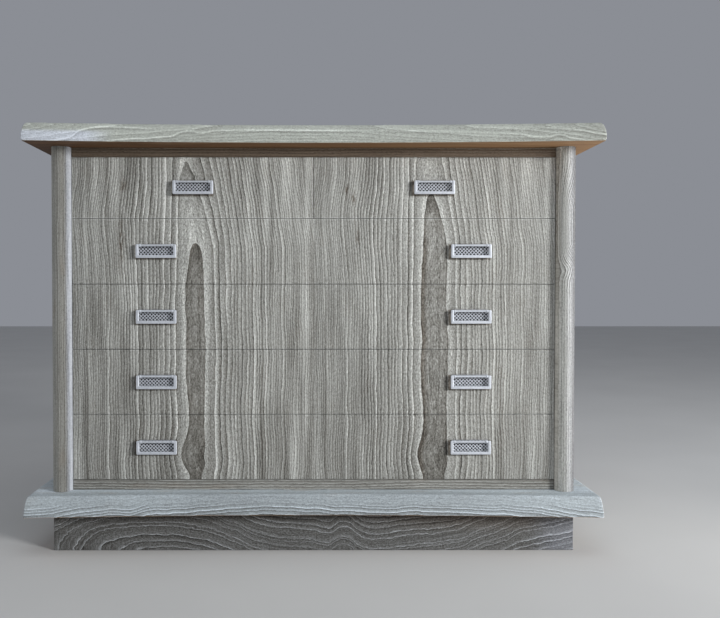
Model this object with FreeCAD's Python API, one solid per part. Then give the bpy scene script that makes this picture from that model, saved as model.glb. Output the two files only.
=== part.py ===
import FreeCAD, Part
import math
import os

# Isho clothing chest in brushed grey paulownia.
# Millimetres. +X is the viewer's right, -Y is the front, +Z is up.
# The origin is the middle of the chest's footprint box, at floor level.

V = FreeCAD.Vector
os.makedirs("parts", exist_ok=True)

# ---------------------------------------------------------------- dimensions
# overall
TOP_HALF_W = 590.0        # thick top board, half of 1180
PLINTH_HALF_W = 598.0     # plinth board at its lower edge, half of 1196
Y_BACK = 240.0            # rear face of the top board and of the plinth board
Y_TOP_FRONT = -240.0      # front of the top board at its two ends
Y_PLINTH_FRONT = -220.0   # front of the plinth board at its two ends
TOP_BOW = 25.0            # how far the middle of the top's front edge is set back
PLINTH_BOW = 20.0         # the same on the plinth board

# heights
Z_PLINTH = 86.3           # underside of the plinth board, top of the base frame
Z_CASE = 129.0            # top of the plinth board, foot of the case
Z_TOP = 856.0             # head of the case, underside of the top board
Z_HEAD = 894.0            # upper face of the top board
LINES = [150.7, 290.2, 428.8, 567.3, 706.6, 836.3]   # joints between the drawer fronts, bottom to top

# case
Y_FACE = -160.0           # plane of the drawer fronts and of both rails
Y_IN = -141.5             # front edges of all that stands behind the fronts
OPEN_HALF = 513.0         # half of the clear width between the posts
POST_OUT = 554.0          # outer face of a post
POST_NOSE = 21.0          # how far the round of a post stands out of the face
PANEL_IN = 526.0          # inner face of a side panel
PANEL_OUT = 550.0         # outer face of a side panel
Y_CASE_BACK = 236.0       # rear edge of the side panels
BACK_FRONT = 226.0        # front face of the back panel
BACK_T = 8.0
SHELF_T = 10.0            # dust shelves between the rows
CASE_TOP_T = 18.0
CASE_BOTTOM_T = 14.0
DIVIDER_T = 10.0
HOUSING = 6.0             # shelves, case top, case bottom and back are let into the side panels
DIVIDER_HOUSING = 3.0
GUIDE_IN = 507.0          # inner face of the guide strips beside the drawers
GUIDE_H = 30.0

# base frame
BASE_HALF = 553.5
BASE_FRONT = -165.0
BASE_T = 22.0
BASE_BACK = 234.0

# drawers
GAP = 0.8                 # hairline gap between neighbouring fronts
FRONT_T = 18.0
SIDE_T = 12.0
BOX_BACK = 216.0          # rear face of a drawer box
BACKBOARD_T = 12.0
BOTTOM_T = 6.0
BOX_PLAY = 1.0            # play between a box and its guides
GROOVE = 4.0              # depth of the grooves that hold a drawer bottom
TAIL_DEEP = 12.0          # half-blind dovetails, length into the front
TAIL_ROOT = 16.0          # width of a tail where it leaves the side board
TAIL_TIP = 23.0           # width of a tail at its end
TAILS = 3
FINGERS = 5               # finger joint at the back corners
ARRIS = 0.6               # broken edges of the fronts

# bail pulls
BAIL_W = 85.6
BAIL_H = 29.0
ARM_W = 6.0
BAR_H = 6.0
BAIL_T = 5.0
PIVOT_R = 2.1             # round top bar of the bail
PIVOT_DROP = 2.5          # pivot axis below the bail's upper edge
PIVOT_PLAY = 0.06         # radial play in the eyelets
PIVOT_OUT = 8.0           # pivot axis in front of the drawer face
EYE_R = 3.2
EYE_W = 4.0
EYE_X = 34.0              # eyelets to each side of the handle's middle
SHANK_R = 1.6
SHANK_HOLE_R = 1.7
NUT_R = 4.0
NUT_T = 3.0
PLATE_W = 78.0
PLATE_T = 1.2
PLATE_UP = 3.0            # plate above the pivot axis
PLATE_DOWN = 25.0         # plate below the pivot axis
HANDLE_X = 333.0          # handles of the full-width drawers
HANDLE_X_SMALL = 254.75   # handles of the two small drawers


# ---------------------------------------------------------------- helpers
def box(x0, x1, y0, y1, z0, z1):
    return Part.makeBox(x1 - x0, y1 - y0, z1 - z0, V(x0, y0, z0))


def save(name, solids):
    if not isinstance(solids, (list, tuple)):
        solids = [solids]
    clean = []
    for s in solids:
        if s.ShapeType != "Solid":
            s = s.Solids[0]
        clean.append(s)
    shape = clean[0] if len(clean) == 1 else Part.makeCompound(clean)
    shape.exportStep(os.path.join("parts", name + ".step"))


def rounded_front(solid, y, radius):
    """break the four edges of a board's face that lies in the plane Y = y"""
    edges = [
        e for e in solid.Edges
        if all(abs(v.Point.y - y) < 1e-6 for v in e.Vertexes)
    ]
    return solid.makeFillet(radius, edges)


def side_section(points, half, z0, y0, y1):
    """solid along Y whose left and right edges have the given profile
    points: (inset from the widest place, height above z0), from the bottom up"""
    right = [V(half - i, y0, z0 + h) for i, h in points]
    left = [V(-(half - i), y0, z0 + h) for i, h in points]
    cr = Part.BSplineCurve()
    cr.interpolate(right)
    cl = Part.BSplineCurve()
    cl.interpolate(left)
    edges = [
        Part.makeLine(left[0], right[0]),
        cr.toShape(),
        Part.makeLine(right[-1], left[-1]),
        cl.toShape(),
    ]
    face = Part.Face(Part.Wire(Part.__sortEdges__(edges)))
    return face.extrude(V(0, y1 - y0, 0))


def bowed_section(points, half, bow, y_front, z0, y_back):
    """solid of revolution about an upright axis in front of the board, so that
    the front edge is concave in plan by bow over the width 2*half"""
    radius = (half * half + bow * bow) / (2.0 * bow)
    yc = y_front + bow - radius               # centre of the arc, in front of the board
    deep = y_back - yc + 60.0
    prof = [V(radius + i, 0, z0 + h) for i, h in points]
    curve = Part.BSplineCurve()
    curve.interpolate(prof)
    a = V(deep, 0, prof[0].z)
    b = V(deep, 0, prof[-1].z)
    edges = [
        Part.makeLine(a, prof[0]),
        curve.toShape(),
        Part.makeLine(prof[-1], b),
        Part.makeLine(b, a),
    ]
    face = Part.Face(Part.Wire(Part.__sortEdges__(edges)))
    # turn the section so that it sweeps both sides of the middle
    half_angle = math.degrees(math.asin((half + 40.0) / radius))
    face.rotate(V(0, 0, 0), V(0, 0, 1), 90.0 - half_angle)
    body = face.revolve(V(0, 0, 0), V(0, 0, 1), 2.0 * half_angle)
    body.translate(V(0, yc, 0))
    return body


def moulded_board(points, half, bow, y_front, y_back, z0):
    along = side_section(points, half, z0, y_front - 5.0, y_back)
    bowed = bowed_section(points, half, bow, y_front, z0, y_back)
    board = along.common(bowed)
    return board.Solids[0]


# ---------------------------------------------------------------- top and plinth
# profile of the moulded edges: (inset, height)
TOP_EDGE = [(1.6, 0.0), (0.35, 3.6), (0.0, 9.0), (0.4, 16.0), (1.6, 23.5),
            (3.5, 30.0), (6.0, 35.0), (9.8, Z_HEAD - Z_TOP)]
PLINTH_EDGE = [(0.0, 0.0), (0.5, 9.5), (1.6, 21.0), (3.2, 31.5), (4.8, 38.2),
               (6.2, 41.3), (9.0, Z_CASE - Z_PLINTH)]

save("top_board", moulded_board(TOP_EDGE, TOP_HALF_W, TOP_BOW, Y_TOP_FRONT, Y_BACK, Z_TOP))
save("plinth_board", moulded_board(PLINTH_EDGE, PLINTH_HALF_W, PLINTH_BOW, Y_PLINTH_FRONT, Y_BACK, Z_PLINTH))

# ---------------------------------------------------------------- base frame
base_front = box(-BASE_HALF, BASE_HALF, BASE_FRONT, BASE_FRONT + BASE_T, 0, Z_PLINTH)
edges = [e for e in base_front.Edges
         if all(abs(v.Point.y - BASE_FRONT) < 1e-6 for v in e.Vertexes)
         and abs(e.Vertexes[0].Point.z - e.Vertexes[1].Point.z) > 1.0]
save("base_front_board", base_front.makeFillet(1.5, edges))
save("base_side_boards", [
    box(-BASE_HALF, -BASE_HALF + BASE_T, BASE_FRONT + BASE_T, BASE_BACK - BASE_T, 0, Z_PLINTH),
    box(BASE_HALF - BASE_T, BASE_HALF, BASE_FRONT + BASE_T, BASE_BACK - BASE_T, 0, Z_PLINTH),
])
save("base_back_board", box(-BASE_HALF, BASE_HALF, BASE_BACK - BASE_T, BASE_BACK, 0, Z_PLINTH))


# ---------------------------------------------------------------- case
def post(side):
    """half-round post in front of a side panel"""
    x0, x1 = OPEN_HALF * side, POST_OUT * side
    xm = (x0 + x1) / 2.0
    r = abs(x1 - x0) / 2.0
    # the round: an ellipse of the post's width, POST_NOSE deep, in arcs
    if r >= POST_NOSE:
        ell = Part.Ellipse(V(xm, Y_FACE, Z_CASE), r, POST_NOSE)
    else:
        ell = Part.Ellipse(V(xm, Y_FACE, Z_CASE), POST_NOSE, r)
    disc = Part.Face(Part.Wire([ell.toShape()])).extrude(V(0, 0, Z_TOP - Z_CASE))
    front = disc.common(box(xm - r - 1, xm + r + 1, Y_FACE - POST_NOSE - 1, Y_FACE, Z_CASE - 1, Z_TOP + 1))
    back = box(xm - r, xm + r, Y_FACE, Y_IN, Z_CASE, Z_TOP)
    return front.fuse(back).removeSplitter()


save("left_front_post", post(-1))
save("right_front_post", post(1))
tongue = PANEL_IN + HOUSING
back_panel = box(-tongue, tongue, BACK_FRONT, BACK_FRONT + BACK_T, Z_CASE, Z_TOP)
case_top = box(-tongue, tongue, Y_IN, BACK_FRONT, Z_TOP - CASE_TOP_T, Z_TOP)
case_bottom_z = LINES[0] + SHELF_T / 2.0
case_bottom = box(-tongue, tongue, Y_IN, BACK_FRONT, case_bottom_z - CASE_BOTTOM_T, case_bottom_z)
shelves = [box(-tongue, tongue, Y_IN, BACK_FRONT, z - SHELF_T / 2, z + SHELF_T / 2) for z in LINES[1:5]]
divider = box(-DIVIDER_T / 2, DIVIDER_T / 2, Y_IN, BACK_FRONT,
              LINES[4] + SHELF_T / 2 - DIVIDER_HOUSING, Z_TOP - CASE_TOP_T + DIVIDER_HOUSING)
for side, name in ((-1, "left_side_panel"), (1, "right_side_panel")):
    x0, x1 = sorted((side * PANEL_IN, side * PANEL_OUT))
    panel = box(x0, x1, Y_IN, Y_CASE_BACK, Z_CASE, Z_TOP)
    for let_in in [back_panel, case_top, case_bottom] + shelves:
        panel = panel.cut(let_in)
    save(name, panel)
save("back_panel", back_panel)
save("case_top_board", case_top.cut(divider))
save("case_bottom_board", case_bottom)
save("upper_rail", rounded_front(
    box(-OPEN_HALF, OPEN_HALF, Y_FACE, Y_IN, LINES[5] + GAP / 2, Z_TOP), Y_FACE, ARRIS))
save("lower_rail", rounded_front(
    box(-OPEN_HALF, OPEN_HALF, Y_FACE, Y_IN, Z_CASE, LINES[0] - GAP / 2), Y_FACE, ARRIS))

for number, shelf in zip((4, 3, 2, 1), shelves):
    save("dust_shelf_%d" % number, shelf.cut(divider))
save("centre_divider", divider)

guides = []
for z in LINES[:5]:
    for s in (-1, 1):
        x0, x1 = sorted((s * GUIDE_IN, s * PANEL_IN))
        guides.append(box(x0, x1, Y_IN, BACK_FRONT, z + SHELF_T / 2, z + SHELF_T / 2 + GUIDE_H))
save("drawer_guides", guides)


# ---------------------------------------------------------------- pulls
def pull_parts(hx, hz):
    """plate, eyelets, nuts, bail and the holes that they need
    hx, hz: middle of the bail's outline on the drawer face"""
    zp = hz + BAIL_H / 2.0 - PIVOT_DROP       # pivot axis
    yp = Y_FACE - PIVOT_OUT
    plate = box(hx - PLATE_W / 2, hx + PLATE_W / 2, Y_FACE - PLATE_T, Y_FACE, zp - PLATE_DOWN, zp + PLATE_UP)
    holes, eyelets, nuts = [], [], []
    for s in (-1, 1):
        x = hx + s * EYE_X
        hole = Part.makeCylinder(SHANK_HOLE_R, 60.0, V(x, yp + 1.0, zp), V(0, 1, 0))
        holes.append(hole)
        plate = plate.cut(hole)
        eye = Part.makeCylinder(EYE_R, EYE_W, V(x - EYE_W / 2, yp, zp), V(1, 0, 0))
        shank = Part.makeCylinder(SHANK_R, -yp + Y_FACE + FRONT_T + NUT_T + 1.0, V(x, yp, zp), V(0, 1, 0))
        eye = eye.fuse(shank).removeSplitter()
        bore = Part.makeCylinder(PIVOT_R + PIVOT_PLAY, EYE_W + 4.0, V(x - EYE_W / 2 - 2.0, yp, zp), V(1, 0, 0))
        eyelets.append(eye.cut(bore).Solids[0])
        nut = Part.makeCylinder(NUT_R, NUT_T, V(x, Y_FACE + FRONT_T, zp), V(0, 1, 0))
        nuts.append(nut.cut(hole))
    # bail: square ring, its top bar round between the arms
    x0, x1 = hx - BAIL_W / 2, hx + BAIL_W / 2
    z0, z1 = zp + PIVOT_DROP - BAIL_H, zp + PIVOT_DROP
    ring = box(x0, x1, yp - BAIL_T / 2, yp + BAIL_T / 2, z0, z1)
    upright = [e for e in ring.Edges
               if abs(e.Vertexes[0].Point.y - e.Vertexes[1].Point.y) > 1.0]
    ring = ring.makeFillet(2.2, upright)
    window = box(x0 + ARM_W, x1 - ARM_W, yp - BAIL_T, yp + BAIL_T, z0 + BAR_H, z1 + 1.0)
    low = [e for e in window.Edges
           if abs(e.Vertexes[0].Point.y - e.Vertexes[1].Point.y) > 1.0
           and e.Vertexes[0].Point.z < z1 - 5.0]
    window = window.makeFillet(1.4, low)
    ring = ring.cut(window)
    rim = [e for e in ring.Edges
           if all(abs(abs(v.Point.y - yp) - BAIL_T / 2) < 1e-6 for v in e.Vertexes)
           and abs(e.BoundBox.YLength) < 1e-6]
    ring = ring.makeFillet(1.0, rim)
    bar = Part.makeCylinder(PIVOT_R, BAIL_W - 2 * ARM_W + 2.0, V(x0 + ARM_W - 1.0, yp, zp), V(1, 0, 0))
    bail = ring.fuse(bar).removeSplitter()
    return plate, eyelets, nuts, bail, holes


def drawer(name, x0, x1, z0, z1, box_x0, box_x1, handles):
    """x0..x1, z0..z1: the field between the middles of the joint lines
    box_x0..box_x1: outer faces of the drawer box
    handles: list of (node suffix, x)"""
    fx0, fx1 = x0, x1
    front = box(fx0, fx1, Y_FACE, Y_FACE + FRONT_T, z0 + GAP / 2, z1 - GAP / 2)
    front = rounded_front(front, Y_FACE, ARRIS)
    low = z0 + SHELF_T / 2 + 0.4
    high = z1 - SHELF_T / 2 - 4.0
    y_join = Y_FACE + FRONT_T
    y_back = BOX_BACK - BACKBOARD_T
    back_high = high - 8.0
    back = box(box_x0 + SIDE_T, box_x1 - SIDE_T, y_back, BOX_BACK, low, back_high)
    bottom = box(box_x0 + SIDE_T - GROOVE, box_x1 - SIDE_T + GROOVE, y_join - GROOVE, y_back + GROOVE,
                 low + 4.0, low + 4.0 + BOTTOM_T)
    sides = []
    step = (back_high - low) / FINGERS
    for sx in (box_x0, box_x1 - SIDE_T):
        side = box(sx, sx + SIDE_T, y_join, BOX_BACK, low, high)
        # the side's dovetails run into the back of the front
        for t in range(TAILS):
            zc = low + (high - low) * (t + 0.5) / TAILS
            points = [V(sx, y_join, zc - TAIL_ROOT / 2), V(sx, y_join - TAIL_DEEP, zc - TAIL_TIP / 2),
                      V(sx, y_join - TAIL_DEEP, zc + TAIL_TIP / 2), V(sx, y_join, zc + TAIL_ROOT / 2)]
            points.append(points[0])
            tail = Part.Face(Part.makePolygon(points)).extrude(V(SIDE_T, 0, 0))
            side = side.fuse(tail)
            front = front.cut(tail)
        # the back board's fingers run through the side
        for f in range(1, FINGERS, 2):
            finger = box(sx, sx + SIDE_T, y_back, BOX_BACK, low + step * f, low + step * (f + 1))
            side = side.cut(finger)
            back = back.fuse(finger)
        sides.append(side.removeSplitter().cut(bottom))
    back = back.removeSplitter().cut(bottom)
    front = front.cut(bottom)
    hz = (z0 + z1) / 2.0
    mounts = []
    for suffix, hx in handles:
        plate, eyelets, nuts, bail, holes = pull_parts(hx, hz)
        for h in holes:
            front = front.cut(h)
        mounts += [plate] + eyelets + nuts
        save(name + suffix, bail)
    save(name + "_front", front)
    save(name + "_sides", sides)
    save(name + "_back", back)
    save(name + "_bottom", bottom)
    save(name + "_handle_mounts", mounts)


edge = OPEN_HALF - GAP / 2
box_half = GUIDE_IN - BOX_PLAY
inner = DIVIDER_T / 2 + BOX_PLAY
drawer("top_left_drawer", -edge, -GAP / 2, LINES[4], LINES[5], -box_half, -inner,
       [("_bail", -HANDLE_X_SMALL)])
drawer("top_right_drawer", GAP / 2, edge, LINES[4], LINES[5], inner, box_half,
       [("_bail", HANDLE_X_SMALL)])
for i, name in enumerate(("second_drawer", "third_drawer", "fourth_drawer", "bottom_drawer")):
    drawer(name, -edge, edge, LINES[3 - i], LINES[4 - i], -box_half, box_half,
           [("_left_bail", -HANDLE_X), ("_right_bail", HANDLE_X)])

print("nodes written:", len([f for f in os.listdir("parts") if f.endswith(".step")]))
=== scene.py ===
import math

import bmesh
import bpy
import numpy as np
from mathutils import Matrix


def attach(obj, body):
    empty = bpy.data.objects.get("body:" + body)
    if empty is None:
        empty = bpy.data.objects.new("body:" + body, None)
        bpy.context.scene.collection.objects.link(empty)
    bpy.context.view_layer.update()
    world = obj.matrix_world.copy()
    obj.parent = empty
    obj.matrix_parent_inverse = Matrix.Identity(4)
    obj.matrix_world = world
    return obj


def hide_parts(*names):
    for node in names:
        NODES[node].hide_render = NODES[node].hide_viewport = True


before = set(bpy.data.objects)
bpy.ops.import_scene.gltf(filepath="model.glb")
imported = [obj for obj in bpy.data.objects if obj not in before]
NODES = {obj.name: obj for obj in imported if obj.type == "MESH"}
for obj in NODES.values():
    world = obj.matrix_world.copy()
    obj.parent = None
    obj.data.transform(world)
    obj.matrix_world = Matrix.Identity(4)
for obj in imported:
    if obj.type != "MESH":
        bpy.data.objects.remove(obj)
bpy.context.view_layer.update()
MM = 0.001

# ------------------------------------------------------------------ sizes, in millimetres, as in the frame
LINES = [150.7, 290.2, 428.8, 567.3, 706.6, 836.3]
GAP = 0.8
ARRIS = 0.6
OPEN = 513.0
Y_FACE, FRONT_T = -160.0, 18.0
Z_PLINTH, Z_CASE, Z_TOP, Z_HEAD = 86.3, 129.0, 856.0, 894.0
TOP_EDGE = [(1.6, 0.0), (0.35, 3.6), (0.0, 9.0), (0.4, 16.0), (1.6, 23.5), (3.5, 30.0), (6.0, 35.0), (9.8, 38.0)]
PLINTH_EDGE = [(0.0, 0.0), (0.5, 9.5), (1.6, 21.0), (3.2, 31.5), (4.8, 38.2), (6.2, 41.3), (9.0, 42.7)]
HANDLES = {
    "top_left_drawer": [("top_left_drawer_bail", -254.75)],
    "top_right_drawer": [("top_right_drawer_bail", 254.75)],
}
EDGE = OPEN - GAP / 2
ROWS = {"top_left_drawer": (4, -EDGE, -GAP / 2), "top_right_drawer": (4, GAP / 2, EDGE)}
for i, row in enumerate(("second_drawer", "third_drawer", "fourth_drawer", "bottom_drawer")):
    HANDLES[row] = [(row + "_left_bail", -333.0), (row + "_right_bail", 333.0)]
    ROWS[row] = (3 - i, -EDGE, EDGE)


# ------------------------------------------------------------------ node networks
class Val:
    """a number in a node network, so that formulas read as formulas"""

    def __init__(self, net, socket):
        self.net, self.s = net, socket

    def __add__(a, b):
        return a.net.op("ADD", a, b)

    __radd__ = __add__

    def __sub__(a, b):
        return a.net.op("SUBTRACT", a, b)

    def __rsub__(a, b):
        return a.net.op("SUBTRACT", b, a)

    def __mul__(a, b):
        return a.net.op("MULTIPLY", a, b)

    __rmul__ = __mul__

    def __truediv__(a, b):
        return a.net.op("DIVIDE", a, b)

    def __rtruediv__(a, b):
        return a.net.op("DIVIDE", b, a)

    def __neg__(a):
        return a.net.op("MULTIPLY", a, -1.0)


class Net:
    """the same network can be written in a shader tree and in a geometry tree"""

    def __init__(self, tree, place):
        self.tree = tree
        sep = tree.nodes.new("ShaderNodeSeparateXYZ")
        scale = tree.nodes.new("ShaderNodeVectorMath")
        scale.operation = "SCALE"
        scale.inputs["Scale"].default_value = 1000.0
        tree.links.new(place, scale.inputs[0])
        tree.links.new(scale.outputs[0], sep.inputs[0])
        self.x, self.y, self.z = (Val(self, sep.outputs[i]) for i in range(3))

    def put(self, value, socket):
        if isinstance(value, Val):
            self.tree.links.new(value.s, socket)
        else:
            socket.default_value = float(value)

    def op(self, kind, *values):
        n = self.tree.nodes.new("ShaderNodeMath")
        n.operation = kind
        for v, s in zip(values, n.inputs):
            self.put(v, s)
        return Val(self, n.outputs[0])

    def sqrt(self, a):
        return self.op("SQRT", a)

    def floor(self, a):
        return self.op("FLOOR", a)

    def abs(self, a):
        return self.op("ABSOLUTE", a)

    def max(self, a, b):
        return self.op("MAXIMUM", a, b)

    def min(self, a, b):
        return self.op("MINIMUM", a, b)

    def power(self, a, b):
        return self.op("POWER", a, b)

    def exp(self, a):
        return self.op("EXPONENT", a)

    def less(self, a, b):
        return self.op("LESS_THAN", a, b)

    def gauss(self, a, middle, width):
        d = (a - middle) / width
        return self.exp(-(d * d))

    def step(self, a, lo, hi, to_lo=0.0, to_hi=1.0):
        """a smooth step from to_lo at lo to to_hi at hi"""
        n = self.tree.nodes.new("ShaderNodeMapRange")
        n.interpolation_type = "SMOOTHSTEP"
        self.put(a, n.inputs["Value"])
        n.inputs["From Min"].default_value = lo
        n.inputs["From Max"].default_value = hi
        n.inputs["To Min"].default_value = to_lo
        n.inputs["To Max"].default_value = to_hi
        return Val(self, n.outputs[0])

    def curve(self, a, points, lo, hi):
        """a smooth curve through (place, value) points; values from lo to hi"""
        n = self.tree.nodes.new("ShaderNodeFloatCurve")
        p0, p1 = points[0][0], points[-1][0]
        self.put((a - p0) / (p1 - p0), n.inputs["Value"])
        c = n.mapping.curves[0]
        spots = [((p - p0) / (p1 - p0), (v - lo) / (hi - lo)) for p, v in points]
        while len(c.points) < len(spots):
            c.points.new(0.5, 0.5)
        for q, (u, v) in zip(c.points, spots):
            q.location = (u, v)
        n.mapping.update()
        return Val(self, n.outputs[0]) * (hi - lo) + lo

    def noise(self, u, v, w=None, detail=0.0, rough=0.5):
        """smooth noise, about -1 to 1, of already scaled coordinates"""
        join = self.tree.nodes.new("ShaderNodeCombineXYZ")
        self.put(u, join.inputs[0])
        self.put(v, join.inputs[1])
        n = self.tree.nodes.new("ShaderNodeTexNoise")
        n.noise_dimensions = "2D" if w is None else "3D"
        if w is not None:
            self.put(w, join.inputs[2])
        self.tree.links.new(join.outputs[0], n.inputs["Vector"])
        n.inputs["Scale"].default_value = 1.0
        n.inputs["Detail"].default_value = detail
        n.inputs["Roughness"].default_value = rough
        return (Val(self, n.outputs[0]) - 0.5) * 2.0

    def white(self, a):
        """a fixed 0 to 1 for each whole number"""
        n = self.tree.nodes.new("ShaderNodeTexWhiteNoise")
        n.noise_dimensions = "1D"
        self.put(a, n.inputs["W"])
        return Val(self, n.outputs[0])


class Grain:
    """what a grain function gives: height and tone 0..1, browning and blueing 0..1; the blueing is a painted bluish
    sheen, and the browning is in places painted shade
    """

    def __init__(self, height, tone, warm, painted_sheen=None):
        self.height, self.tone, self.warm, self.painted_sheen = height, tone, warm, painted_sheen


def ring_tone(n, r, spacing, seed, contrast, vary=0.85, vary_at=2.6, ridge=0.15):
    """growth rings of mean width spacing over the ring radius r: a pale ridge at
    each ring's start that falls off to a dark groove at its end"""
    t = r / spacing + n.noise(r / (spacing * vary_at), seed) * vary
    k = n.floor(t)
    f = t - k
    w1 = n.white(k + seed)
    w2 = n.white(k + seed + 311.0)
    line = n.exp(f * (-1.0 / ridge)) * (w1 * 0.75 + 0.4)
    dark = n.exp((f - 1.0) / 0.17) * (w2 * 0.75 + 0.3)
    tone = (line * 0.46 - dark * 0.42 - f * 0.12) * contrast
    height = line * 0.55 + (1.0 - f) * 0.4 - dark * 0.22
    return tone, height, k, f


def fibres(n, across, along, seed):
    """fine fibre streaks and the open pores of the early wood"""
    fine = n.noise(across / 1.5, along / 46.0, seed, detail=1.0)
    coarse = n.noise(across / 3.6, along / 120.0, seed + 9.0)
    pore = n.step(n.noise(across / 1.9, along / 5.2, seed + 4.0, detail=1.0, rough=0.6), 0.06, 0.46)
    return fine, coarse, pore


def grain_fronts(n):
    """the two sister leaves of the drawer fronts: upright plain-sawn figure with a
    dark tongue up the middle of each leaf, running through all the rows"""
    x, y, z = n.x, n.y, n.z
    left = n.less(x, 1.3)
    right = 1.0 - left
    s = x - 257.0 + left * 508.0
    lz = z - right * 46.0
    # sideways wander of the whole figure
    lean = n.max(z - 648.0, 0.0) * 0.118
    a = s + lean * n.step(s, -110.0, -10.0) * (1.0 - right * n.gauss(s, 0.0, 45.0) * 0.5)
    a = a + n.gauss(z, 705.0, 70.0) * n.step(s, -60.0, -150.0) * 10.6
    a = a + n.gauss(z, 206.0, 26.0) * n.gauss(s, -13.0, 38.0) * (9.5 - right * 3.0)
    a = a + n.noise(s / 85.0, z / 118.0, 3.1) * 3.8
    a = a + n.noise(s / 24.0, z / 42.0, left * 2.0 + 11.0) * 1.9
    a = a + n.noise(s / 7.0, z / 12.0, left * 2.0 + 17.0) * 0.75
    rise = n.power(n.max((lz - 560.0) / 1000.0, 0.0), 1.44) * 38.0
    depth = rise + 149.62 - right * 1.18 + n.gauss(z, 290.0, 60.0) * 0.5 - n.gauss(z, 212.0, 30.0) * 0.55
    depth = depth + n.step(z, 186.0, 158.0) * 0.8
    depth = depth + n.noise(s / 40.0, lz / 26.0, 5.0, detail=1.0) * 0.22 + (y + 160.0)
    r = n.sqrt(a * a + depth * depth) - 151.46
    r = r + n.noise(r / 11.0, 4.3) * n.step(r, 3.0, 9.0) * 2.4
    t = r / 4.3
    k = n.floor(t)
    f = t - k
    w1, w2 = n.white(k + 5.0), n.white(k + 64.0)
    across = n.abs(a)
    strong = n.step(across, 12.0, 48.0) * 0.5 + 0.5 - n.step(across, 120.0, 230.0) * 0.22
    strong = strong * (1.0 - right * n.step(s, 60.0, 150.0) * 0.2)
    near = n.gauss(across, 0.0, 85.0)
    core = n.step(t, 0.004, -0.012)
    line = n.exp(f * (-1.0 / 0.16)) * (w1 * 0.9 + 0.3)
    dark = n.exp((f - 1.0) / 0.17) * (w2 * 0.85 + 0.35)
    fine, coarse, pore = fibres(n, a, z, 21.0)
    mott = n.noise(a / 3.3, (z + across * 0.9) / 7.0, 31.0, detail=1.0, rough=0.65)
    sand = n.noise(a / 2.2, z / 4.2, 35.0, detail=1.0, rough=0.6)
    cloud = n.noise(s / 46.0, z / 210.0, 44.0, detail=1.0)
    band = n.noise(s / 12.0, z / 330.0, 48.0)
    spots = left * (n.gauss(s, -157.0, 5.5) * n.gauss(z, 655.0, 42.0) + n.gauss(s, -153.0, 7.0) * n.gauss(z, 778.0, 12.0))
    spots = spots + right * (n.gauss(s, -187.0, 4.0) * n.gauss(z, 768.0, 9.0) + n.gauss(s, -173.0, 4.5) * n.gauss(z, 750.0, 13.0)
                             + n.gauss(s, -163.0, 3.5) * n.gauss(z, 665.0, 14.0))
    spots = spots * n.step(n.noise(s / 5.0, z / 15.0, 52.0, detail=1.0), -0.35, 0.3)
    # each tongue is darkest under its tip, clouded below; on the left a second dark tip higher up
    tip = n.gauss(z, 636.0 + right * 106.0, 34.0)
    patch = n.noise(s / 15.0, z / 38.0, 58.0, detail=1.0)
    flank = right * n.step(a, -14.0, -26.0)
    shade = core * (tip * 0.16 + 0.11 + flank * 0.14 + patch * 0.12 + n.step(z, 470.0, 230.0) * (0.05 + right * 0.04))
    shade = shade + left * n.gauss(t, 0.93, 0.16) * n.gauss(s, -6.0, 16.0) * n.step(z, 760.0, 800.0) * 0.24
    # lighter towards the top rows: a painted light gradient
    tone = (line * 0.31 - dark * 0.62 - f * 0.10) * strong + 0.66 + (z - 500.0) * 0.00013
    tone = tone + fine * 0.11 + coarse * 0.10 + cloud * 0.11 + band * (0.18 + left * 0.09 - near * 0.10)
    # faint arcs between the rings close to the middle of the leaf
    sub = t * 4.0 + n.noise(a / 9.0, z / 16.0, 27.0) * 0.3
    sub = sub - n.floor(sub)
    tone = tone + (n.exp(sub * (-1.0 / 0.22)) - n.exp((sub - 1.0) / 0.22)) * n.step(across, 52.0, 20.0) * 0.09
    # paler along the joints: painted light that lifts the shade in the gaps, more at the joint under the top drawers
    for joint in LINES[1:5]:
        tone = tone + n.step(n.abs(z - joint), 1.2 + (joint > 700.0) * 0.7, 0.8) * (0.30 + (joint > 700.0) * 0.12)
    streak = n.noise(a / 2.6, z / 17.0, 66.0, detail=1.0, rough=0.6) * core
    tone = tone + mott * (near * 0.13 + 0.15) + sand * (near * 0.18 + 0.18 - core * (0.14 - right * 0.06)) - pore * (near * 0.08 + 0.14)
    tone = tone + streak * (0.17 + right * 0.09) - shade - spots * 0.36
    # painted shadow round the back plates, reaching further on the left and below, and browner; plus a painted cast
    # shadow down the left of each
    top_row = n.step(z, 706.0, 707.0)
    row_z = z - n.floor((z - 150.7) / 139.0) * 139.0 - 218.7 + top_row * 4.75
    row_x = x - (right * 2.0 - 1.0) * (333.0 - top_row * 78.25) + 2.4
    plate_shadow = n.step(n.max(n.abs(row_x) - 42.6, n.abs(row_z) - 14.8), 3.6, -0.4)
    left_shadow = n.gauss(row_x, -46.5, 2.4) * n.step(n.abs(row_z), 17.0, 13.0)
    # lighter along the right edge: painted light that lifts the right post's cast shadow
    tone = tone - plate_shadow * 0.30 - left_shadow * 0.20 + n.step(x, 494.0, 512.0) * 0.17
    tone = tone - n.step(x, 200.0, 450.0) * n.step(z, 250.0, 700.0) * 0.035
    warm = plate_shadow * 0.4 + core * 0.03 + core * flank * 0.25 + dark * core * 0.2 + spots * 0.4 + n.step(n.noise(s / 26.0, z / 70.0, 71.0), 0.1, 0.7) * dark * 0.5
    height = line * 0.5 + (1.0 - f) * 0.36 - dark * 0.2 + fine * 0.06 - pore * 0.16 + mott * 0.09 - spots * 0.2
    return Grain(height, tone, warm)


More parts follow.
